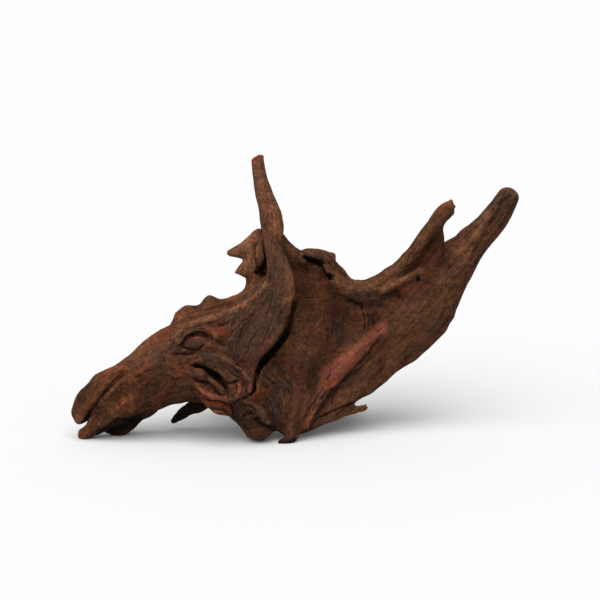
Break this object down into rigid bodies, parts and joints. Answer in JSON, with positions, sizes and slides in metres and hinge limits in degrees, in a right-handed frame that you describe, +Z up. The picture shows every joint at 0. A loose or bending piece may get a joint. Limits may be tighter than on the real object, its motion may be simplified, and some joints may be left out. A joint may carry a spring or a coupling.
{
  "type": "driftwood root",
  "caption": "Weathered root wood with a long blunt snout, a knotted burl, an upright horn, a shallow bowl and a forked limb, lying on worn low points.",
  "frame": {"origin": "on the surface it rests on, under the centre of its bounding box", "axes": "+X from the snout to the long prong, +Y from the broad side in the picture to the back, +Z up"},
  "size_m": [0.3154, 0.1097, 0.1959],
  "materials": {
    "weathered_wood": "dry, matt, weathered"
  },
  "bodies": {
    "root": {"driftwood_root": "weathered_wood"}
  },
  "joints": []
}
